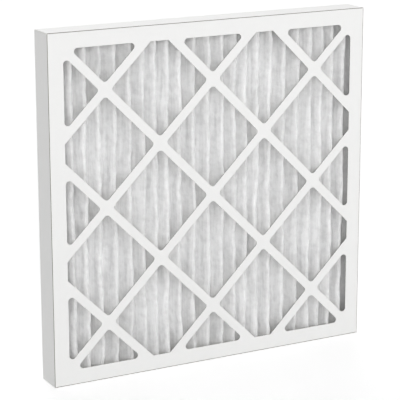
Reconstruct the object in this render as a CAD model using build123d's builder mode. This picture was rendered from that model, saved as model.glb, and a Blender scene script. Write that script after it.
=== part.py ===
"""Pleated panel air filter, nominal 20 x 20 x 2 in: two nested die-cut board trays around a pleated pack."""
import os
from math import asin, atan2, cos, degrees, hypot, isclose, pi, sin, tan

from build123d import *

# Millimetres. +X is to the right along the face, +Z is up, and air enters through the front face, at -Y.
# The origin is the middle of the bottom edge, halfway through the depth.

# The whole panel
FACE = 495.3                 # width and height, 19 1/2 in
DEPTH = 44.45                # 1 3/4 in
BOARD = 0.7                  # 28-point clay-coated board

# Die-cut windows, the same in both trays
BORDER = 22.2                # face band between the panel's edge and the windows
STRIP_WIDTH = 12.5           # diagonal supports
STRIP_DIVISIONS = 6          # the supports cross on sixths of the face
WINDOW_RADIUS = 5.0          # corners of the punched windows
FOLD_RADIUS = 1.0            # outside of a creased and folded edge
SEAM_GAP = 0.8               # open joint where two folded walls meet
WALL_SETBACK = 1.0           # the rear tray's walls end this far behind the front face
TAB_LENGTH = 25.0            # glued corner tabs of the inner tray
TAB_MARGIN = 2.0             # the tabs stay this far from the face and from the wall's free edge

# Pleated pack
PLEATS = 24
MEDIA = 2.0                  # nonwoven sheet as it lies in the pack
END_BED = 2.0                # adhesive under the cut ends of the pleats
TIP_BOND = 0.6               # adhesive between the diagonal supports and the fold lines
TIP_BOND_WIDTH = 8.0         # narrower than the support that carries it
TIP_BOND_OVERRUN = 6.0       # the bond lines run this far behind the border
SIDE_BEAD = 8.0              # adhesive in the corner between the last flank and the side wall

# Welded wire grid on the air-leaving side of the sheet
WIRE = 1.0                   # drawn square
CROSS_WIRE_PITCH = 101.6     # wires that zigzag across the pleats, 4 in apart
CROSS_WIRES = 5
PLEAT_WIRE_STATIONS = (0.25, 0.75)   # wires along the pleats, as shares of a flank's length

# Worked out from the above
WINDOW = FACE - 2 * BORDER
STRIP_STEP = FACE / STRIP_DIVISIONS
STRIP_LENGTH = 2 * FACE
INNER_TRAY = FACE - 2 * BOARD
CAVITY = FACE - 4 * BOARD
JOINT_SPAN = INNER_TRAY - SEAM_GAP
CAVITY_DEPTH = DEPTH - 2 * BOARD
MIDDLE = FACE / 2
FRONT = -DEPTH / 2
REAR = DEPTH / 2
FRONT_INSIDE = FRONT + BOARD
REAR_INSIDE = REAR - BOARD
PACK_HEIGHT = CAVITY - 2 * END_BED
PACK_BOTTOM = (FACE - PACK_HEIGHT) / 2

PITCH = CAVITY / PLEATS
FRONT_TIP = FRONT_INSIDE + TIP_BOND
REAR_TIP = REAR_INSIDE - TIP_BOND - 2 * WIRE
# Each fold closes on a crease, which lies a sheet's thickness behind the fold's tip.
FRONT_CREASE = FRONT_TIP + MEDIA
REAR_CREASE = REAR_TIP - MEDIA
CREASE_SPAN = hypot(PITCH / 2, REAR_CREASE - FRONT_CREASE)
FLANK_LENGTH = (CREASE_SPAN**2 - MEDIA**2) ** 0.5
FLANK_ANGLE = atan2(PITCH / 2, REAR_CREASE - FRONT_CREASE) - asin(MEDIA / CREASE_SPAN)
# Folds across the panel, alternately at the front and at the rear, with one past each side wall.
FOLD_PLACES = [-CAVITY / 2 + (fold - 1) * PITCH / 2 for fold in range(2 * PLEATS + 3)]

os.makedirs("parts", exist_ok=True)


def face_plane(y):
    """A plane parallel to the panel's face at depth y, its normal towards the incoming air."""
    return Plane.XZ.offset(-y)


def strip_centres():
    """The middle of each diagonal support from the face's centre, with its slope in degrees."""
    reach = STRIP_DIVISIONS // 2 - 1
    for step in range(-reach, reach + 1):
        yield (-step * STRIP_STEP, step * STRIP_STEP), 45
        yield (step * STRIP_STEP, step * STRIP_STEP), -45


def is_blunt(corner):
    """Whether a window's corner is one of those where the border cuts a diamond off: they stay unrounded."""
    along, across = sorted((abs(corner.X), abs(corner.Y - MIDDLE)))
    return isclose(across, WINDOW / 2) and abs(along - STRIP_STEP) < BORDER


def window_outlines(y):
    """The diamond, cut-off diamond and triangle windows, drawn at depth y."""
    with BuildSketch(face_plane(y)) as windows:
        with Locations((0, MIDDLE)):
            Rectangle(WINDOW, WINDOW)
            for centre, slope in strip_centres():
                with Locations(centre):
                    Rectangle(STRIP_LENGTH, STRIP_WIDTH, rotation=slope, mode=Mode.SUBTRACT)
        fillet([corner for corner in windows.vertices() if not is_blunt(corner)], WINDOW_RADIUS)
    return windows.sketch


def flat_top(x, y, radius):
    """The two bends of a flat-topped fold at x, whose top at depth y lies a radius from its crease."""
    half_width = radius * tan((pi / 2 - FLANK_ANGLE) / 2)
    return [(x - half_width, y), (x + half_width, y)]


def air_entering_side():
    """The sheet's front side: flat-topped at front folds, sharp at rear ones."""
    points = []
    for fold, x in enumerate(FOLD_PLACES):
        points += flat_top(x, FRONT_TIP, MEDIA) if fold % 2 == 0 else [(x, REAR_CREASE)]
    return points


def air_leaving_side(offset=0.0):
    """The sheet's rear side, moved out by an offset: sharp at front folds, flat-topped at rear ones."""
    sharp_bend = FRONT_CREASE + offset / sin(FLANK_ANGLE)
    points = []
    for fold, x in enumerate(FOLD_PLACES):
        points += [(x, sharp_bend)] if fold % 2 == 0 else flat_top(x, REAR_TIP + offset, MEDIA + offset)
    return points


def bond_lines(y):
    """Lines of adhesive rolled on the inside of the diagonal supports, drawn at depth y."""
    with BuildSketch(face_plane(y)) as lines:
        with Locations((0, MIDDLE)):
            for centre, slope in strip_centres():
                with Locations(centre):
                    Rectangle(STRIP_LENGTH, TIP_BOND_WIDTH, rotation=slope)
            Rectangle(WINDOW + 2 * TIP_BOND_OVERRUN, WINDOW + 2 * TIP_BOND_OVERRUN, mode=Mode.INTERSECT)
    return lines.sketch


# Rear tray: the outer one. Its walls fold forward and end where the front tray's face begins to fold.
with BuildPart() as rear_frame:
    with BuildSketch(face_plane(FRONT + WALL_SETBACK)):
        with Locations((0, MIDDLE)):
            Rectangle(FACE, FACE)
    extrude(amount=-(DEPTH - WALL_SETBACK))
    fillet(rear_frame.faces().sort_by(Axis.Y)[-1].edges(), FOLD_RADIUS)
    with BuildSketch(face_plane(FRONT)):
        with Locations((0, MIDDLE)):
            Rectangle(INNER_TRAY, INNER_TRAY)
    extrude(amount=-(DEPTH - BOARD), mode=Mode.SUBTRACT)
    extrude(window_outlines(REAR), amount=2 * BOARD, both=True, mode=Mode.SUBTRACT)
    # Open joint at each corner: at the top the side walls stop short of the top wall, and at the bottom
    # the bottom wall stops short of the side walls.
    with BuildSketch(face_plane(FRONT)):
        with Locations((0, MIDDLE + JOINT_SPAN / 2)):
            with GridLocations(FACE, 0, 2, 1):
                Rectangle(3 * BOARD, SEAM_GAP)
        with GridLocations(JOINT_SPAN, 0, 2, 1):
            Rectangle(SEAM_GAP, 3 * BOARD)
    extrude(amount=-(DEPTH - FOLD_RADIUS), mode=Mode.SUBTRACT)
rear_frame.part.label = "rear_frame"

# Front tray: nests inside the rear one, open side to open side, with its face at the front.
with BuildPart() as front_frame:
    with BuildSketch(face_plane(FRONT)):
        with Locations((0, MIDDLE)):
            Rectangle(INNER_TRAY, INNER_TRAY)
    extrude(amount=-(DEPTH - BOARD))
    fillet(front_frame.faces().sort_by(Axis.Y)[0].edges(), FOLD_RADIUS)
    with BuildSketch(face_plane(FRONT_INSIDE)):
        with Locations((0, MIDDLE)):
            Rectangle(CAVITY, CAVITY)
    extrude(amount=-CAVITY_DEPTH, mode=Mode.SUBTRACT)
    extrude(window_outlines(FRONT), amount=2 * BOARD, both=True, mode=Mode.SUBTRACT)
    # Corner tabs: the side walls' ends, folded over and glued under the top wall and over the bottom one.
    with BuildSketch(face_plane(FRONT_INSIDE + TAB_MARGIN)):
        with Locations((0, MIDDLE)):
            with GridLocations(CAVITY - TAB_LENGTH, CAVITY - BOARD, 2, 2):
                Rectangle(TAB_LENGTH, BOARD)
    extrude(amount=-(CAVITY_DEPTH - 2 * TAB_MARGIN))
front_frame.part.label = "front_frame"

# Pleated media: one nonwoven sheet folded back and forth, cut off at a rear fold at each side wall.
with BuildPart() as pleated_media:
    with BuildSketch(Plane.XY.offset(PACK_BOTTOM)):
        with BuildLine():
            Polyline(*air_entering_side(), *reversed(air_leaving_side()), close=True)
        make_face()
        Rectangle(CAVITY, DEPTH, mode=Mode.INTERSECT)
    extrude(amount=PACK_HEIGHT)
pleated_media.part.label = "pleated_media"

# Support grid, wires along the pleats: they lie on the flanks, two to a flank.
with BuildPart() as pleat_wires:
    with BuildSketch(Plane.XY.offset(PACK_BOTTOM)):
        for crease_x in FOLD_PLACES[2:-1:2]:
            for side in (-1, 1):
                for station in PLEAT_WIRE_STATIONS:
                    run = station * FLANK_LENGTH
                    x = crease_x + side * (run * sin(FLANK_ANGLE) - WIRE / 2 * cos(FLANK_ANGLE))
                    y = FRONT_CREASE + run * cos(FLANK_ANGLE) + WIRE / 2 * sin(FLANK_ANGLE)
                    with Locations((x, y)):
                        Rectangle(WIRE, WIRE, rotation=-side * degrees(FLANK_ANGLE))
    extrude(amount=PACK_HEIGHT)
pleat_wires.part.label = "pleat_wires"

# Support grid, wires across the pleats: each is bent to follow every fold and is welded to the wires above.
with BuildPart() as cross_wires:
    lowest = MIDDLE - (CROSS_WIRES - 1) / 2 * CROSS_WIRE_PITCH - WIRE / 2
    levels = [Plane.XY.offset(lowest + row * CROSS_WIRE_PITCH) for row in range(CROSS_WIRES)]
    with BuildSketch(*levels):
        with BuildLine():
            Polyline(*air_leaving_side(WIRE), *reversed(air_leaving_side(2 * WIRE)), close=True)
        make_face()
        Rectangle(CAVITY, DEPTH, mode=Mode.INTERSECT)
    extrude(amount=WIRE)
cross_wires.part.label = "cross_wires"

# End beds: the cut ends of the pleats stand in adhesive, which is cut away where the corner tabs lie.
with BuildPart() as adhesive_bottom:
    with BuildSketch(Plane.XY.offset(2 * BOARD)):
        Rectangle(CAVITY, CAVITY_DEPTH)
    extrude(amount=END_BED)
    with BuildSketch(Plane.XY.offset(2 * BOARD)):
        with GridLocations(CAVITY - TAB_LENGTH, 0, 2, 1):
            Rectangle(TAB_LENGTH, CAVITY_DEPTH - 2 * TAB_MARGIN)
    extrude(amount=BOARD, mode=Mode.SUBTRACT)
adhesive_bottom.part.label = "adhesive_bottom"

with BuildPart() as adhesive_top:
    mirror(adhesive_bottom.part, about=Plane.XY.offset(MIDDLE))
adhesive_top.part.label = "adhesive_top"

# Side beads: a wedge of adhesive between the last flank and the side wall.
with BuildPart() as adhesive_left:
    with BuildSketch(Plane.XY.offset(PACK_BOTTOM)):
        with BuildLine():
            crease = (-CAVITY / 2, REAR_CREASE)
            up_the_wall = (-CAVITY / 2, REAR_CREASE - SIDE_BEAD)
            up_the_flank = (
                -CAVITY / 2 + SIDE_BEAD * sin(FLANK_ANGLE),
                REAR_CREASE - SIDE_BEAD * cos(FLANK_ANGLE),
            )
            Polyline(crease, up_the_wall, up_the_flank, close=True)
        make_face()
    extrude(amount=PACK_HEIGHT)
adhesive_left.part.label = "adhesive_left"

with BuildPart() as adhesive_right:
    mirror(adhesive_left.part, about=Plane.YZ)
adhesive_right.part.label = "adhesive_right"

# Bond lines: adhesive between the diagonal supports and the folds, or the wires over them at the rear.
with BuildPart() as front_bond_lines:
    extrude(bond_lines(FRONT_INSIDE), amount=-TIP_BOND)
front_bond_lines.part.label = "front_bond_lines"

with BuildPart() as rear_bond_lines:
    extrude(bond_lines(REAR_INSIDE), amount=TIP_BOND)
rear_bond_lines.part.label = "rear_bond_lines"

nodes = (
    rear_frame,
    front_frame,
    pleated_media,
    pleat_wires,
    cross_wires,
    adhesive_bottom,
    adhesive_top,
    adhesive_left,
    adhesive_right,
    front_bond_lines,
    rear_bond_lines,
)
for node in nodes:
    export_step(node.part, f"parts/{node.part.label}.step")
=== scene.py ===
"""Dresses a pleated panel air filter: two nested die-cut board trays round a folded nonwoven sheet.

The frame holds the trays, the adhesive and the plain solids at their real size. This script gives them their
finishes, and makes the folded sheet and the wire grid behind it as uneven surfaces that stand for the plain
ones. Lengths are in millimetres, in the frame's own directions: X to the right, Z up, and air enters at -Y.
"""
import logging
from dataclasses import dataclass, field
from enum import Enum
from math import pi, radians
from typing import Optional

import bpy
import numpy as np
from mathutils import Euler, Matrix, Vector


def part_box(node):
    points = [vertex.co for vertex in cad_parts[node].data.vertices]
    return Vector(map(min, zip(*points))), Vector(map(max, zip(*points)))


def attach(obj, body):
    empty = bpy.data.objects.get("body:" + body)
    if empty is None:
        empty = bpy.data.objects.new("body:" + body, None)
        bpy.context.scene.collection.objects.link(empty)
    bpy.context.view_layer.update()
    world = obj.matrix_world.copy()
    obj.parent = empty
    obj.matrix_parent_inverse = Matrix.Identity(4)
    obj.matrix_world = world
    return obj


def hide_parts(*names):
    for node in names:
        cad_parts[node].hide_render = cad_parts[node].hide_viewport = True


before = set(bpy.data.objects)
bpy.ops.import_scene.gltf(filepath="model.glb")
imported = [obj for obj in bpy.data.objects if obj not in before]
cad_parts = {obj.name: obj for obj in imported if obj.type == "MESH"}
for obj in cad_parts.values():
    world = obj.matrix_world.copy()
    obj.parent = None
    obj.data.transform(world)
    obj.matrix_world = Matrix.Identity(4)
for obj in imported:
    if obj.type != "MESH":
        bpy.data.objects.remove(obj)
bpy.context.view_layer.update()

MM = 0.001
BODY = "root"
CREASE = 50.0       # degrees: an edge that turns by more stays sharp
log = logging.getLogger("panel_filter")


class Slot(Enum):
    """The record's material slot names for the pieces that are made here; no piece is given these slots."""

    MEDIA = "media"
    WIRE = "wire"


# ---------------------------------------------------------------------------------------------------------
# Meshes


def measured(node: str) -> tuple[np.ndarray, np.ndarray]:
    """A frame node's lowest and highest corners, in millimetres."""
    low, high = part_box(node)
    return np.array(low) / MM, np.array(high) / MM


def grid_faces(rows: int, columns: int, start: int = 0, closed: bool = False) -> np.ndarray:
    """Quads over a grid of points that is numbered row by row.

    Args:
        rows: how many rows of points the grid has.
        columns: how many points a row has.
        start: the number of the grid's first point.
        closed: whether the last column joins the first, as round a tube.

    Returns:
        One quad a line, turning from the row's direction towards the next row.
    """
    across = np.arange(columns if closed else columns - 1)
    row, column = np.meshgrid(np.arange(rows - 1), across, indexing="ij")
    after = (column + 1) % columns
    here, above = row * columns, (row + 1) * columns
    corners = (here + column, here + after, above + after, above + column)
    return start + np.stack(corners, axis=-1).reshape(-1, 4)


def strip_faces(one: np.ndarray, other: np.ndarray) -> np.ndarray:
    """Quads between two lines of as many point numbers, turning from the first line towards the other."""
    return np.stack([one[:-1], one[1:], other[1:], other[:-1]], axis=-1)


def add_piece(
    name: str, points: np.ndarray, faces: list, flat: Optional[np.ndarray] = None
) -> bpy.types.Object:
    """Adds one smooth-shaded mesh object that rides on the panel.

    Args:
        name: the object's name.
        points: one point a line, in millimetres.
        faces: arrays of point numbers, each with one face a line.
        flat: each point's place on the flat cut, from 0 to 1 both ways, for the UV map.

    Returns:
        The object, at the origin, with its place in its mesh.
    """
    mesh = bpy.data.meshes.new(name)
    mesh.from_pydata((points * MM).tolist(), [], [face for block in faces for face in block.tolist()])
    mesh.polygons.foreach_set("use_smooth", np.ones(len(mesh.polygons), dtype=bool))
    mesh.set_sharp_from_angle(angle=radians(CREASE))
    if flat is not None:
        corner = np.empty(len(mesh.loops), dtype=np.int32)
        mesh.loops.foreach_get("vertex_index", corner)
        layer = mesh.uv_layers.new(name="flat_cut")
        layer.uv.foreach_set("vector", flat[corner].astype(np.float32).ravel())
    mesh.update()
    piece = bpy.data.objects.new(name, mesh)
    bpy.context.collection.objects.link(piece)
    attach(piece, BODY)
    return piece


def tubes(centres: np.ndarray, across: np.ndarray, beside: np.ndarray, radius: float, sides: int) -> tuple:
    """Round wires along lines of points.

    A wire's surface is its line plus, at each point, a circle: the radius times the cosine of the turn along
    one crossways direction and the sine along the other.

    Args:
        centres: wires by points by 3.
        across: a unit vector across the wire at each point.
        beside: the other one, such that beside x across runs along the wire.
        radius: the wire's radius.
        sides: how many sides the round is drawn with.

    Returns:
        The points, one a line, and a list of face arrays, with the wires' ends closed.
    """
    wires, stops = centres.shape[:2]
    turn = np.arange(sides) * 2 * pi / sides
    round_it = across[:, :, None] * np.cos(turn)[:, None] + beside[:, :, None] * np.sin(turn)[:, None]
    points = centres[:, :, None] + radius * round_it
    first = np.arange(wires) * stops * sides
    walls = (grid_faces(stops, sides, closed=True)[None] + first[:, None, None]).reshape(-1, 4)
    ring = np.arange(sides)
    near = first[:, None] + ring[::-1]
    far = first[:, None] + (stops - 1) * sides + ring
    return points.reshape(-1, 3), [walls, near, far]


# ---------------------------------------------------------------------------------------------------------
# The folded sheet and what follows it


@dataclass(frozen=True)
class Drift:
    """Slow uneven drift of several lines along the panel's height."""

    lines: int
    reach: float
    longest: float         # the wavelengths' range
    shortest: float
    seed: int
    waves: int = 6
    stretch_least: float = 0.8     # each line's own wavelengths lie between these shares of the even ones
    stretch_most: float = 1.25

    def at(self, heights: np.ndarray) -> np.ndarray:
        """The drift of each line at each height.

        It is a sum of cosines. Their wavelengths go down from the longest to the shortest in equal ratios,
        and each wave weighs as the root of its wavelength, with its own start for every line.

        Args:
            heights: the heights, in millimetres.

        Returns:
            Heights by lines, in the reach's unit.
        """
        chance = np.random.default_rng(self.seed)
        lengths = np.geomspace(self.longest, self.shortest, self.waves)
        weights = np.sqrt(lengths) / np.sqrt(lengths.sum() / 2)
        starts = chance.uniform(0, 2 * pi, (self.lines, self.waves))
        lengths = lengths * chance.uniform(self.stretch_least, self.stretch_most, (self.lines, self.waves))
        turns = 2 * pi * heights[:, None, None] / lengths + starts
        return self.reach * (weights * np.cos(turns)).sum(axis=-1)


@dataclass
class Folds:
    """Where the sheet's folds and flanks run, as functions of height.

    The sheet's middle is a line that turns round the centre of each fold and runs straight between them. The
    pleats are folded by machine and pulled into the trays by hand, so they stand unevenly across the panel
    and lean a little up its height.
    """

    pleats: int = 24
    thickness: float = 1.8
    bend: float = 1.7                 # radius of the sheet's middle round a fold
    bow: float = 0.3                  # how far a flank stands out on the air-entering side at its middle
    uneven_base: float = 3.2          # the pleats' mean drift to the right, inside the panel
    uneven_reach: float = 3.0         # and how much it swings about that
    uneven_span: float = 6.6          # pleats to one swing
    uneven_peak: float = 5.6          # the pleat where it is largest
    rear_share: float = -0.6          # the rear folds' drift over the front ones': the pleats lean
    edge_pleats: float = 2.0          # the drift fades out within so many pleats of a side wall
    strip_step: float = 82.55         # the supports cross at this distance across and up
    free_from: float = 9.0            # a fold is held within this distance of a support's middle
    free_at: float = 34.0             # and is free from here on
    recess: float = 0.8               # how far a free fold may draw back from the face
    recess_mean: float = 0.5          # the share of it that a free fold draws back by in the mean
    recess_most: float = 1.5          # and the largest share

    low: np.ndarray = field(init=False)
    high: np.ndarray = field(init=False)

    def __post_init__(self) -> None:
        """Takes the pack's box from the frame, and sets up the drifts."""
        self.low, self.high = measured("pleated_media")
        outer = self.bend + self.thickness / 2
        self.pitch = (self.high[0] - self.low[0]) / self.pleats
        self.front_depth = self.low[1] + outer
        self.rear_depth = self.high[1] - outer
        self.front_drift = Drift(self.pleats, reach=0.8, longest=300, shortest=16, seed=11, waves=9)
        self.rear_drift = Drift(self.pleats + 1, reach=0.9, longest=260, shortest=60, seed=12)
        self.front_recess = Drift(self.pleats, reach=0.8, longest=160, shortest=13, seed=13, waves=8)
        self.slack = Drift(2 * self.pleats, reach=0.55, longest=210, shortest=30, seed=14)
        self.lean = Drift(2 * self.pleats, reach=0.5, longest=120, shortest=14, seed=15, waves=8)

    def fade(self, number: np.ndarray) -> np.ndarray:
        """How free a fold is of the side walls, from 0 at a wall to 1, by a fold's number in pleats."""
        return np.clip(np.minimum(number, self.pleats - number) / self.edge_pleats, 0, 1)

    def freedom(self, across: np.ndarray, heights: np.ndarray) -> np.ndarray:
        """How free a point is of the diagonal supports, from 0 where they hold the folds to 1 in the open."""
        up = heights[:, None] - (self.low[2] + self.high[2]) / 2
        period = 2 * self.strip_step
        away = [np.abs((up + side * across + period / 2) % period - period / 2) / 2**0.5 for side in (-1, 1)]
        share = (np.minimum(*away) - self.free_from) / (self.free_at - self.free_from)
        share = np.clip(share, 0, 1)
        return share * share * (3 - 2 * share)

    def uneven(self, number: np.ndarray) -> np.ndarray:
        """The drift to the right of a fold with this number: a mean and a slow swing across the panel."""
        swing = np.cos(2 * pi * (number - self.uneven_peak) / self.uneven_span)
        return self.fade(number) * (self.uneven_base + self.uneven_reach * swing)

    def centres(self, heights: np.ndarray) -> tuple[np.ndarray, np.ndarray]:
        """The centres of the front folds and of the rear folds at each height.

        Args:
            heights: the heights, in millimetres.

        Returns:
            Two arrays, heights by folds by (across, depth). There is one rear fold more.
        """
        number = np.arange(self.pleats) + 0.5
        across = self.low[0] + number * self.pitch + self.uneven(number - 0.5)
        across = across + self.fade(number) * self.front_drift.at(heights)
        free = self.freedom(across, heights)
        drawn = (self.recess_mean + self.front_recess.at(heights)).clip(0, self.recess_most)
        depth = self.front_depth + self.recess * free * drawn
        front = np.stack([across, depth], axis=-1)

        number = np.arange(self.pleats + 1.0)
        across = self.low[0] + number * self.pitch + self.rear_share * self.uneven(number - 0.5)
        across = across + self.fade(number) * self.rear_drift.at(heights)
        rear = np.stack([across, np.full_like(across, self.rear_depth)], axis=-1)
        return front, rear

    def bulge(self, heights: np.ndarray, along: np.ndarray) -> np.ndarray:
        """How far each flank stands out towards the incoming air, at shares along it from its front fold.

        A flank bows as one half wave of its mean bow and the sheet's slack, and a full wave of lean is added.

        Args:
            heights: the heights, in millimetres.
            along: shares of the flank's length, from its front fold.

        Returns:
            Heights by flanks by shares, in millimetres. A pleat's left flank comes before its right one.
        """
        bow = (self.bow + self.slack.at(heights)[:, :, None]) * np.sin(pi * along)
        return bow + self.lean.at(heights)[:, :, None] * np.sin(2 * pi * along)


def facing(turn: np.ndarray) -> np.ndarray:
    """The unit vector in plan that is turned by so much from straight ahead, at -Y, towards +X."""
    return np.stack([np.sin(turn), -np.cos(turn)], axis=-1)


@dataclass
class FoldedLine:
    """A line that follows the sheet in plan: arcs round the folds' centres, and straight flanks between."""

    folds: Folds
    behind: float = 0.0        # how far behind the sheet's middle the line runs
    inner_bend: float = 0.0    # its bend radius round the front folds, where it runs behind their centres
    arc_steps: int = 5
    flank_steps: int = 4

    def trace(self, heights: np.ndarray) -> tuple[np.ndarray, np.ndarray]:
        """The line's points and which way the sheet faces there, at each height.

        Between two centres the flank is the inner tangent of the two rounds. Its turn is the turn of the line
        between the centres, less the arc sine of the radii's sum over the centres' distance. The arcs run
        evenly from one flank's turn to the next one's, and a flank's points divide it evenly.

        Args:
            heights: the heights, in millimetres.

        Returns:
            Two arrays, heights by points by (across, depth): the points, and the unit vectors.
        """
        front, rear = self.folds.centres(heights)
        bend = self.folds.bend
        lean = [self.tilt(front, rear[:, :-1], 2 * bend, -1), self.tilt(front, rear[:, 1:], 2 * bend, 1)]
        left, right = lean[0] - pi / 2, pi / 2 - lean[1]
        front_bend, rear_bend = bend - self.behind, bend + self.behind
        if front_bend < self.inner_bend:
            front = self.set_back(front, left, right, self.inner_bend - front_bend)
            front_bend = self.inner_bend

        wall = np.zeros_like(left[:, :1])
        arc = np.linspace(0, 1, self.arc_steps + 1)
        rear_turn = self.between(np.hstack([wall, right]), np.hstack([left, wall]), arc)
        front_turn = self.between(left, right, arc)
        rear_arc = rear[:, :, None] - rear_bend * facing(rear_turn)
        front_arc = front[:, :, None] + front_bend * facing(front_turn)

        share = np.linspace(0, 1, self.flank_steps + 1)[1:-1]
        bulge = self.folds.bulge(heights, share)
        to_front = self.between(rear_arc[:, :-1, -1], front_arc[:, :, 0], share)
        to_front = to_front + bulge[:, 0::2, ::-1, None] * facing(left)[:, :, None]
        to_rear = self.between(front_arc[:, :, -1], rear_arc[:, 1:, 0], share)
        to_rear = to_rear + bulge[:, 1::2, :, None] * facing(right)[:, :, None]

        flank = np.ones_like(share)
        points = np.concatenate([rear_arc[:, :-1], to_front, front_arc, to_rear], axis=2)
        turns = np.concatenate(
            [rear_turn[:, :-1], left[:, :, None] * flank, front_turn, right[:, :, None] * flank], axis=2
        )
        rows = len(heights)
        points = np.concatenate([points.reshape(rows, -1, 2), rear_arc[:, -1]], axis=1)
        turns = np.concatenate([turns.reshape(rows, -1), rear_turn[:, -1]], axis=1)
        return points, facing(turns)

    @staticmethod
    def tilt(front: np.ndarray, rear: np.ndarray, radii: float, side: int) -> np.ndarray:
        """How far a flank leans away from straight back, from its front fold's centre to its rear one's."""
        run = rear - front
        return np.arctan2(side * run[..., 0], run[..., 1]) - np.arcsin(radii / np.linalg.norm(run, axis=-1))

    @staticmethod
    def between(start: np.ndarray, end: np.ndarray, share: np.ndarray) -> np.ndarray:
        """Even steps from start to end, as a new axis after the folds' one."""
        share = share.reshape(-1, *[1] * (start.ndim - 2))
        return start[:, :, None] * (1 - share) + end[:, :, None] * share

    @staticmethod
    def set_back(front: np.ndarray, left: np.ndarray, right: np.ndarray, reach: float) -> np.ndarray:
        """Moves each front centre back, to where it lies that much behind both of its flanks.

        With a and b the unit vectors that the two flanks face, the move m has m.a = m.b = -reach. That is
        m = -reach (a + b) / (1 + a.b).
        """
        one, other = facing(left), facing(right)
        return front - reach * (one + other) / (1 + (one * other).sum(axis=-1, keepdims=True))


@dataclass
class PleatedSheet:
    """The nonwoven sheet, folded back and forth: one closed surface."""

    folds: Folds
    rows: int = 113

    def build(self, finish: "Nonwoven") -> bpy.types.Object:
        """Makes the sheet: its middle surface moved by half its thickness to either side, and its rims."""
        line = FoldedLine(self.folds)
        heights = np.linspace(self.folds.low[2], self.folds.high[2], self.rows)
        plan, faces_to = line.trace(heights)
        columns = plan.shape[1]
        half = self.folds.thickness / 2
        up = np.broadcast_to(heights[:, None, None], (self.rows, columns, 1))
        sides = [np.concatenate([plan + way * half * faces_to, up], axis=-1) for way in (1, -1)]
        points = np.concatenate([side.reshape(-1, 3) for side in sides])

        count = self.rows * columns
        entering = grid_faces(self.rows, columns)
        leaving = grid_faces(self.rows, columns, start=count)[:, ::-1]
        number = np.arange(count).reshape(self.rows, columns)
        rims = [
            strip_faces(number[0, ::-1], number[0, ::-1] + count),
            strip_faces(number[-1], number[-1] + count),
            strip_faces(number[:, 0], number[:, 0] + count),
            strip_faces(number[::-1, -1], number[::-1, -1] + count),
        ]

        steps = np.linalg.norm(np.diff(plan[self.rows // 2], axis=0), axis=-1)
        run = np.concatenate([[0], np.cumsum(steps)])
        flat = np.stack(np.meshgrid(run / run[-1], np.linspace(0, 1, self.rows)), axis=-1).reshape(-1, 2)
        sheet = add_piece("folded_sheet", points, [entering, leaving, *rims], np.concatenate([flat, flat]))
        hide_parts("pleated_media")
        width, length = heights[-1] - heights[0], run[-1]
        log.info("folded sheet: %d pleats, cut to %.0f x %.0f mm", self.folds.pleats, width, length)
        finish.dress(sheet, flat=(width, length))
        return sheet


@dataclass
class SupportGrid:
    """The welded wire grid on the air-leaving side, bent with the sheet."""

    folds: Folds
    wire: float = 1.0
    stations: tuple = (0.25, 0.75)     # wires along the pleats, as shares of a flank's length
    cross_pitch: float = 101.6
    cross_count: int = 5
    cross_bend: float = 0.8            # a cross wire's bend inside a front fold
    cross_layer: float = 1.5           # its middle lies this many wires behind the sheet
    rows: int = 40
    sides: int = 8

    def build(self, finish: "GalvanisedSteel") -> list[bpy.types.Object]:
        """Makes the wires along the pleats and those across them."""
        pieces = [self.pleat_wires(), self.cross_wires()]
        for piece in pieces:
            finish.dress(piece)
            log.info("%s: %d faces", piece.name, len(piece.data.polygons))
        return pieces

    def pleat_wires(self) -> bpy.types.Object:
        """The wires that run up the flanks, against the sheet's rear side.

        A wire's line is a point of the flank at a set share of its length, half the sheet and half the wire
        behind the sheet's middle, for every height.
        """
        folds = self.folds
        heights = np.linspace(folds.low[2], folds.high[2], self.rows)
        behind = folds.thickness / 2 + self.wire / 2
        line = FoldedLine(folds)
        plan, faces_to = line.trace(heights)
        per_pleat = 2 * (line.arc_steps + 1) + 2 * (line.flank_steps - 1)
        start = np.arange(folds.pleats) * per_pleat
        to_front = line.arc_steps + 1
        to_rear = to_front + line.flank_steps - 1 + line.arc_steps + 1
        picks = [start + flank + round(line.flank_steps * share) - 1 for flank in (to_front, to_rear)
                 for share in self.stations]
        column = np.sort(np.concatenate(picks))
        plan = (plan - behind * faces_to)[:, column]
        across = np.transpose(faces_to[:, column], (1, 0, 2))
        up = np.broadcast_to(heights[:, None, None], (self.rows, len(column), 1))
        centres = np.transpose(np.concatenate([plan, up], axis=-1), (1, 0, 2))
        flat = np.zeros_like(across[..., :1])
        across = np.concatenate([across, flat], axis=-1)
        beside = np.concatenate([-across[..., 1:2], across[..., 0:1], flat], axis=-1)
        points, faces = tubes(centres, across, beside, self.wire / 2, self.sides)
        piece = add_piece("rear_support_wires", points, faces)
        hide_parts("pleat_wires")
        return piece

    def cross_wires(self) -> bpy.types.Object:
        """The wires that zigzag across the pleats, welded on behind the ones that run up them."""
        folds = self.folds
        middle = (folds.low[2] + folds.high[2]) / 2
        heights = middle + (np.arange(self.cross_count) - (self.cross_count - 1) / 2) * self.cross_pitch
        behind = folds.thickness / 2 + self.cross_layer * self.wire
        line = FoldedLine(folds, behind=behind, inner_bend=self.cross_bend, arc_steps=5, flank_steps=3)
        plan, faces_to = line.trace(heights)
        up = np.broadcast_to(heights[:, None, None], plan.shape[:2] + (1,))
        centres = np.concatenate([plan, up], axis=-1)
        across = np.concatenate([faces_to, np.zeros_like(up)], axis=-1)
        beside = np.broadcast_to(np.array([0.0, 0.0, 1.0]), across.shape)
        points, faces = tubes(centres, across, beside, self.wire / 2, self.sides)
        piece = add_piece("cross_support_wires", points, [block[:, ::-1] for block in faces])
        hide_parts("cross_wires")
        return piece


# ---------------------------------------------------------------------------------------------------------
# Finishes


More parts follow.
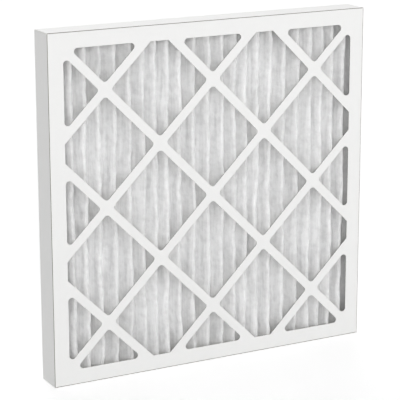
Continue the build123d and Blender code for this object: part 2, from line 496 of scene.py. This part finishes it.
def linear(colour: str) -> tuple[float, float, float, float]:
    """The linear colour of an sRGB hex value such as #f0efee."""
    levels = [int(colour[i:i + 2], 16) / 255 for i in (1, 3, 5)]
    return (*[v / 12.92 if v <= 0.04045 else ((v + 0.055) / 1.055) ** 2.4 for v in levels], 1.0)


def add_node(
    tree: bpy.types.NodeTree, kind: str, inputs: Optional[dict] = None, **settings: object
) -> bpy.types.Node:
    """Adds one node.

    Args:
        tree: the node tree.
        kind: the node's type, without the ShaderNode that all of them begin with.
        inputs: for an input's name or number, its value or the socket that is linked to it.
        settings: the node's own properties.

    Returns:
        The node.
    """
    node = tree.nodes.new("ShaderNode" + kind)
    for name, value in settings.items():
        setattr(node, name, value)
    for name, value in (inputs or {}).items():
        if isinstance(value, bpy.types.NodeSocket):
            tree.links.new(value, node.inputs[name])
        else:
            node.inputs[name].default_value = value
    return node


def per_metre(size: float) -> float:
    """The noise scale that gives a pattern this size in millimetres, on coordinates in metres."""
    return 1 / (size * MM)


def dress_with(piece: bpy.types.Object, material: bpy.types.Material) -> None:
    """Puts a material in every slot of a piece, and adds the slot where there is none."""
    if not piece.material_slots:
        piece.data.materials.append(material)
    for slot in piece.material_slots:
        slot.material = material


@dataclass(frozen=True)
class ClayCoatedBoard:
    """Die-cut 28-point board, clay-coated white outside, a little greyer inside, grey-brown where it was cut.

    The coat is smooth and nearly matt, with a faint cloudiness from the fibres under it. A cut edge shows the
    pressed fibres of the core: darker, warmer and rough.
    """

    coat: str = "#f0f0ef"
    core: str = "#6a635b"
    inside: str = "#eceae6"
    coat_roughness: float = 0.7
    gloss: float = 0.22         # the pigment coat mirrors less than a plain plastic would
    core_roughness: float = 0.9
    cloud: float = 9.0          # size of the coat's faint clouds
    fibre: float = 1.4          # fibres are about 0.3 mm, drawn coarser so that they show
    board: float = 0.7          # its thickness
    solid_border: float = 21.0  # no window comes closer than this to the panel's outside
    skin: float = 0.02          # how closely one face is told from the next
    thin_coat: float = 0.975    # the coat's shade where it is thinnest
    grain_relief: float = 0.05  # height of the fibres that show through the coat
    grain_strength: float = 0.25

    def dress(self, *pieces: bpy.types.Object) -> None:
        """Gives the trays the board's material."""
        low, high = measured("rear_frame")
        inner_low, inner_high = measured("front_frame")
        window = high[0] - self.solid_border
        material = bpy.data.materials.new("clay_coated_board")
        material.use_nodes = True
        tree = material.node_tree
        shader = tree.nodes["Principled BSDF"]
        place = add_node(tree, "TexCoord").outputs["Object"]
        middle = Vector((0, 0, (low[2] + high[2]) / 2 * MM))
        centred = add_node(tree, "VectorMath", {0: place, 1: middle}, operation="SUBTRACT").outputs[0]
        parts = add_node(tree, "SeparateXYZ", {0: centred}).outputs
        size = [add_node(tree, "Math", {0: part}, operation="ABSOLUTE").outputs[0] for part in parts]
        ring = add_node(tree, "Math", {0: size[0], 1: size[2]}, operation="MAXIMUM").outputs[0]

        def both(one: tuple, other: tuple) -> bpy.types.NodeSocket:
            """1 where both of two comparisons hold, each given as what, how and the limit in millimetres."""
            found = [add_node(tree, "Math", {0: what, 1: limit * MM}, operation=how).outputs[0]
                     for what, how, limit in (one, other)]
            return add_node(tree, "Math", {0: found[0], 1: found[1]}, operation="MULTIPLY").outputs[0]

        skin = self.skin
        cut = both((size[1], "LESS_THAN", high[1] - skin), (ring, "LESS_THAN", window))
        rim = both((parts[1], "LESS_THAN", low[1] + skin), (ring, "GREATER_THAN", inner_high[0] + skin / 2))
        lining = both((size[1], "LESS_THAN", high[1] - self.board + skin / 2),
                      (ring, "LESS_THAN", inner_high[0] + skin / 2))
        edge = add_node(tree, "Math", {0: cut, 1: rim}, operation="MAXIMUM").outputs[0]

        cloud = add_node(tree, "TexNoise", {"Vector": place, "Scale": per_metre(self.cloud), "Detail": 3.0})
        shade = add_node(tree, "MapRange", {"Value": cloud.outputs[0], "To Min": self.thin_coat,
                                            "To Max": 1.0}).outputs[0]
        grain = add_node(tree, "TexNoise", {"Vector": place, "Scale": per_metre(self.fibre), "Detail": 4.0,
                                            "Roughness": 0.65})
        coat = add_node(tree, "VectorMath", {0: linear(self.coat)[:3], "Scale": shade}, operation="SCALE")
        lined = add_node(tree, "Mix", {0: lining, 6: coat.outputs[0], 7: linear(self.inside)},
                         data_type="RGBA")
        colour = add_node(tree, "Mix", {0: edge, 6: lined.outputs[2], 7: linear(self.core)},
                          data_type="RGBA")
        raw = add_node(tree, "Math", {0: edge, 1: lining}, operation="MAXIMUM").outputs[0]
        rough = add_node(tree, "MapRange", {"Value": raw, "To Min": self.coat_roughness,
                                            "To Max": self.core_roughness}).outputs[0]
        bump = add_node(tree, "Bump", {"Strength": self.grain_strength, "Distance": self.grain_relief * MM,
                                       "Height": grain.outputs[0]})
        tree.links.new(colour.outputs[2], shader.inputs["Base Color"])
        tree.links.new(rough, shader.inputs["Roughness"])
        tree.links.new(bump.outputs[0], shader.inputs["Normal"])
        shader.inputs["Specular IOR Level"].default_value = self.gloss
        for piece in pieces:
            dress_with(piece, material)


@dataclass(frozen=True)
class Nonwoven:
    """Thermally bonded polyester nonwoven, air-laid and lofty.

    The eye gets a matt white felt that lets much of the light through: no gloss, soft shadows in the folds,
    cloudy patches where the web is thicker or thinner, draws along the folds from pleating, and fine fibres.
    """

    fibre_white: str = "#fafafa"
    thin_white: str = "#ebebeb"
    passed: float = 0.66        # the share of the light that goes on through a layer of fibres
    cloud: float = 9.0          # the web's thick and thin patches
    draw: float = 4.5           # width of the draws that pleating leaves along the folds
    draw_length: float = 60.0
    tuft: float = 3.2           # small clumps of fibres
    fibre: float = 0.9          # fibres are about 0.03 mm, drawn as strands coarse enough to show
    thin: float = 0.36          # the noise level at which the web is at its thinnest
    thick: float = 0.56         # and the one from which it is full
    felt_relief: float = 0.6    # height of tufts and fibres
    web_relief: float = 1.6     # height between the web's thick and thin patches
    felt_strength: float = 0.9
    web_strength: float = 0.8
    draw_share: float = 0.5     # how much of the web's pattern is draws, and not clouds
    fibre_share: float = 0.3    # how much of the felt's relief is fibres, and not tufts
    comb: float = 0.35          # fibres are drawn out along the web, to one over this
    tangle: float = 1.2         # and curl by so much
    roughness: float = 0.95
    gloss: float = 0.2

    def dress(self, piece: bpy.types.Object, flat: tuple[float, float]) -> None:
        """Gives the sheet its material, with patterns laid out on its flat cut.

        Args:
            piece: the sheet.
            flat: the flat cut's size along the folds and along the web.
        """
        material = bpy.data.materials.new("bonded_nonwoven")
        material.use_nodes = True
        tree = material.node_tree
        shader = tree.nodes["Principled BSDF"]
        on_cut = add_node(tree, "UVMap", uv_map="flat_cut").outputs[0]
        spread = Vector((flat[1] * MM, flat[0] * MM, 1))
        place = add_node(tree, "VectorMath", {0: on_cut, 1: spread}, operation="MULTIPLY").outputs[0]
        cloud = add_node(tree, "TexNoise", {"Vector": place, "Scale": per_metre(self.cloud), "Detail": 3.0})
        drawn = add_node(tree, "Mapping", {"Vector": place,
                                           "Scale": (1.0, self.draw / self.draw_length, 1.0)})
        draw = add_node(tree, "TexNoise", {"Vector": drawn.outputs[0], "Scale": per_metre(self.draw),
                                           "Detail": 2.0})
        tuft = add_node(tree, "TexNoise", {"Vector": place, "Scale": per_metre(self.tuft), "Detail": 3.0})
        combed = add_node(tree, "Mapping", {"Vector": place, "Scale": (self.comb, 1.0, 1.0)}).outputs[0]
        fibre = add_node(tree, "TexNoise", {"Vector": combed, "Scale": per_metre(self.fibre), "Detail": 2.0,
                                            "Distortion": self.tangle})
        web = add_node(tree, "Mix", {0: self.draw_share, 2: cloud.outputs[0], 3: draw.outputs[0]})
        share = add_node(tree, "MapRange", {"Value": web.outputs[0], "From Min": self.thin,
                                            "From Max": self.thick})
        colour = add_node(tree, "Mix", {0: share.outputs[0], 6: linear(self.thin_white),
                                        7: linear(self.fibre_white)}, data_type="RGBA").outputs[2]
        relief = add_node(tree, "Mix", {0: self.fibre_share, 2: tuft.outputs[0], 3: fibre.outputs[0]})
        fine = add_node(tree, "Bump", {"Strength": self.felt_strength, "Distance": self.felt_relief * MM,
                                       "Height": relief.outputs[0]})
        bump = add_node(tree, "Bump", {"Strength": self.web_strength, "Distance": self.web_relief * MM,
                                       "Height": web.outputs[0], "Normal": fine.outputs[0]}).outputs[0]
        tree.links.new(colour, shader.inputs["Base Color"])
        tree.links.new(bump, shader.inputs["Normal"])
        shader.inputs["Roughness"].default_value = self.roughness
        shader.inputs["Specular IOR Level"].default_value = self.gloss
        through = add_node(tree, "BsdfTranslucent", {"Color": colour, "Normal": bump})
        felt = add_node(tree, "MixShader", {0: self.passed, 1: shader.outputs[0], 2: through.outputs[0]})
        tree.links.new(felt.outputs[0], tree.nodes["Material Output"].inputs["Surface"])
        dress_with(piece, material)


@dataclass(frozen=True)
class GalvanisedSteel:
    """Drawn steel wire, hot-dip galvanised: satin, with slow dull and bright stretches along the zinc."""

    bright: str = "#dfe1e2"
    dull: str = "#c6c9cb"
    stretch: float = 4.0        # size of a stretch
    smooth: float = 0.3         # the roughness's range along the zinc
    rough: float = 0.5

    def dress(self, *pieces: bpy.types.Object) -> None:
        """Gives the wires their material."""
        material = bpy.data.materials.new("galvanised_steel")
        material.use_nodes = True
        tree = material.node_tree
        shader = tree.nodes["Principled BSDF"]
        place = add_node(tree, "TexCoord").outputs["Object"]
        zinc = add_node(tree, "TexNoise", {"Vector": place, "Scale": per_metre(self.stretch), "Detail": 3.0})
        colour = add_node(tree, "Mix", {0: zinc.outputs[0], 6: linear(self.dull), 7: linear(self.bright)},
                          data_type="RGBA")
        rough = add_node(tree, "MapRange", {"Value": zinc.outputs[0], "To Min": self.smooth,
                                            "To Max": self.rough})
        tree.links.new(colour.outputs[2], shader.inputs["Base Color"])
        tree.links.new(rough.outputs[0], shader.inputs["Roughness"])
        shader.inputs["Metallic"].default_value = 1.0
        for piece in pieces:
            dress_with(piece, material)


@dataclass(frozen=True)
class DriedAdhesive:
    """Water-based board adhesive, rolled on and dried: off-white, satin, with the roller's soft stipple."""

    colour: str = "#ece8dd"
    thin: str = "#dcd6c6"
    stipple: float = 3.0        # size of a lump
    relief: float = 0.3         # and its height
    strength: float = 0.5
    smooth: float = 0.35        # the roughness's range
    rough: float = 0.6

    def dress(self, *pieces: bpy.types.Object) -> None:
        """Gives the beads, beds and bond lines their material."""
        material = bpy.data.materials.new("dried_adhesive")
        material.use_nodes = True
        tree = material.node_tree
        shader = tree.nodes["Principled BSDF"]
        place = add_node(tree, "TexCoord").outputs["Object"]
        lump = add_node(tree, "TexNoise", {"Vector": place, "Scale": per_metre(self.stipple), "Detail": 2.0})
        colour = add_node(tree, "Mix", {0: lump.outputs[0], 6: linear(self.thin), 7: linear(self.colour)},
                          data_type="RGBA")
        rough = add_node(tree, "MapRange", {"Value": lump.outputs[0], "To Min": self.smooth,
                                            "To Max": self.rough})
        bump = add_node(tree, "Bump", {"Strength": self.strength, "Distance": self.relief * MM,
                                       "Height": lump.outputs[0]})
        tree.links.new(colour.outputs[2], shader.inputs["Base Color"])
        tree.links.new(rough.outputs[0], shader.inputs["Roughness"])
        tree.links.new(bump.outputs[0], shader.inputs["Normal"])
        for piece in pieces:
            dress_with(piece, material)


# ---------------------------------------------------------------------------------------------------------
# Studio


@dataclass(frozen=True)
class Softbox:
    """A large lamp far off: where it stands, seen from the panel, and its share of the full light."""

    name: str
    towards: tuple
    share: float
    spread: float = 40.0              # its width, in degrees

    def build(self) -> None:
        """Adds the lamp."""
        lamp = bpy.data.lights.new(self.name, "SUN")
        lamp.energy = self.share * pi
        lamp.angle = radians(self.spread)
        softbox = bpy.data.objects.new(self.name, lamp)
        softbox.rotation_euler = Vector(self.towards).to_track_quat("Z", "Y").to_euler()
        bpy.context.collection.objects.link(softbox)


@dataclass
class Studio:
    """A white sweep with even light from all round, and softboxes in front, above and behind."""

    camera_place: tuple = (-1119.0, -2100.0, 860.0)
    camera_turn: float = 28.34        # degrees from +Y towards +X
    camera_dip: float = 14.09         # degrees below the horizon
    lens: float = 155.1
    shift: tuple = (-0.035, -0.05)
    sky: float = 0.32                 # share of the full light that comes from all round
    softboxes: tuple = (
        Softbox("front_softbox", (-0.39, -0.90, 0.21), 0.66),
        Softbox("rear_softbox", (0.34, 0.92, 0.21), 0.75),
        Softbox("top_softbox", (0.0, 0.0, 1.0), 0.14),
    )
    floor_colour: str = "#e6e6e6"
    floor_glow: float = 0.44          # what the floor adds where a camera or a mirror sees it
    floor_size: float = 8000.0
    floor_gap: float = 0.1            # between the floor and the panel's foot
    white_bounces: int = 12           # light goes on this many times between the white folds
    other_bounces: int = 4            # all kinds of bounces together may be this many more
    sensor: float = 36.0              # the width of its film, in millimetres
    farthest: float = 50.0            # metres that the camera sees

    def build(self) -> None:
        """Sets up the view, the light, the floor and the camera."""
        scene = bpy.context.scene
        scene.view_settings.view_transform = "Standard"
        scene.cycles.diffuse_bounces = self.white_bounces
        scene.cycles.max_bounces = self.white_bounces + self.other_bounces
        self.light()
        self.floor()
        self.camera()

    @staticmethod
    def seen(tree: bpy.types.NodeTree) -> bpy.types.NodeSocket:
        """1 on rays that show the backdrop: the camera's own, mirrored ones and those through glass."""
        path = add_node(tree, "LightPath").outputs
        mirrored = add_node(tree, "Math", {0: path["Is Camera Ray"], 1: path["Is Glossy Ray"]},
                            operation="ADD")
        return add_node(tree, "Math", {0: mirrored.outputs[0], 1: path["Is Transmission Ray"]},
                        operation="ADD", use_clamp=True).outputs[0]

    def light(self) -> None:
        """The sky, which is plain white where it is seen, and the softboxes."""
        world = bpy.data.worlds.new("studio")
        bpy.context.scene.world = world
        world.use_nodes = True
        tree = world.node_tree
        strength = add_node(tree, "MapRange", {"Value": self.seen(tree), "To Min": self.sky, "To Max": 1.0})
        tree.links.new(strength.outputs[0], tree.nodes["Background"].inputs["Strength"])
        tree.nodes["Background"].inputs["Color"].default_value = (1, 1, 1, 1)
        for softbox in self.softboxes:
            softbox.build()

    def floor(self) -> None:
        """A pale floor that is white to the camera except in the contact shadow."""
        half = self.floor_size / 2 * MM
        mesh = bpy.data.meshes.new("floor")
        corners = [(-half, -half, 0), (half, -half, 0), (half, half, 0), (-half, half, 0)]
        mesh.from_pydata(corners, [], [(0, 1, 2, 3)])
        floor = bpy.data.objects.new("floor", mesh)
        floor.location.z = -self.floor_gap * MM
        bpy.context.collection.objects.link(floor)
        material = bpy.data.materials.new("paper_sweep")
        material.use_nodes = True
        tree = material.node_tree
        tree.nodes.clear()
        diffuse = add_node(tree, "BsdfDiffuse", {"Color": linear(self.floor_colour)})
        strength = add_node(tree, "MapRange", {"Value": self.seen(tree), "To Max": self.floor_glow})
        glow = add_node(tree, "Emission", {"Strength": strength.outputs[0]})
        both = add_node(tree, "AddShader", {0: diffuse.outputs[0], 1: glow.outputs[0]})
        add_node(tree, "OutputMaterial", {"Surface": both.outputs[0]})
        mesh.materials.append(material)

    def camera(self) -> None:
        """The camera, a little above the panel and to its left."""
        data = bpy.data.cameras.new("camera")
        data.lens = self.lens
        data.sensor_width = self.sensor
        data.shift_x, data.shift_y = self.shift
        data.clip_end = self.farthest
        camera = bpy.data.objects.new("camera", data)
        camera.location = Vector(self.camera_place) * MM
        camera.rotation_euler = Euler((radians(90 - self.camera_dip), 0, radians(-self.camera_turn)), "XYZ")
        bpy.context.collection.objects.link(camera)
        bpy.context.scene.camera = camera


def main() -> None:
    """Builds the pieces in order, gives the frame's nodes their finishes, and sets up the studio."""
    logging.basicConfig(level=logging.INFO, format="%(name)s: %(message)s")
    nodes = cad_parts
    folds = Folds()
    PleatedSheet(folds).build(Nonwoven())
    SupportGrid(folds).build(GalvanisedSteel())
    ClayCoatedBoard().dress(nodes["rear_frame"], nodes["front_frame"])
    glued = [name for name in nodes if name.startswith("adhesive") or name.endswith("bond_lines")]
    DriedAdhesive().dress(*[nodes[name] for name in glued])
    log.info("trays and %d adhesive pieces dressed", len(glued))
    Studio().build()


if __name__ == "__main__":
    main()
